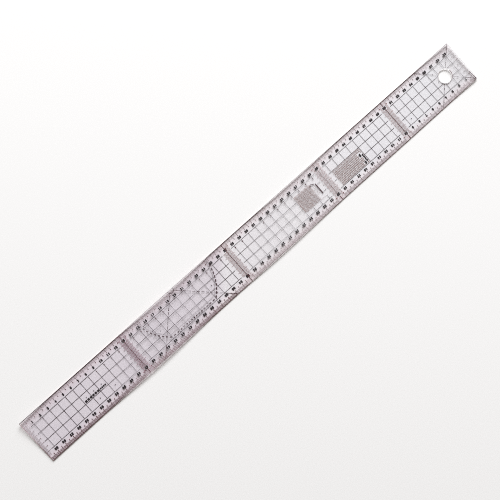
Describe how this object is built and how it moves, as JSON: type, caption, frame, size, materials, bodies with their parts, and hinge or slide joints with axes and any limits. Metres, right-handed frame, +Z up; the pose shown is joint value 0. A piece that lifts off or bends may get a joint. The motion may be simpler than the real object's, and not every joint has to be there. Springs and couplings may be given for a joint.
{
  "type": "grading ruler",
  "caption": "Limp clear plastic pattern-grading rule with a centimetre grid, edge and cross scales, an angle scale and a hanging hole, lying slightly wavy as it does on a table.",
  "frame": {"origin": "on the table, under the middle of the rule", "axes": "+X along the length, from the 0 end to the 60 end of the upper scale, +Y across the width, from the lower edge to the upper edge, +Z up from the table through the printed face"},
  "size_m": [0.6004, 0.0506, 0.0038],
  "materials": {
    "clear_sheet": "clear flexible PVC with a faint violet tint, glossy, darker on its cut edges",
    "black_ink": "black screen-print ink under the cover sheet",
    "grey_ink": "dark grey screen-print ink under the cover sheet",
    "brown_ink": "brown-purple screen-print ink under the cover sheet"
  },
  "bodies": {
    "root": {"back_sheet": "clear_sheet", "cover_sheet": "clear_sheet", "upper_edge_scale": "black_ink", "upper_numerals": "black_ink", "lower_edge_scale": "black_ink", "lower_numerals": "black_ink", "left_end_scale": "black_ink", "right_end_scale": "black_ink", "inner_numerals": "black_ink", "block_bar": "black_ink", "fine_line_gauge": "grey_ink", "number_table": "grey_ink", "centimetre_grid": "grey_ink", "cross_scale_13": "brown_ink", "cross_scale_27": "brown_ink", "cross_scale_40": "brown_ink", "cross_scale_50": "brown_ink", "angle_scale": "brown_ink", "hole_diagonals": "brown_ink"}
  },
  "joints": []
}
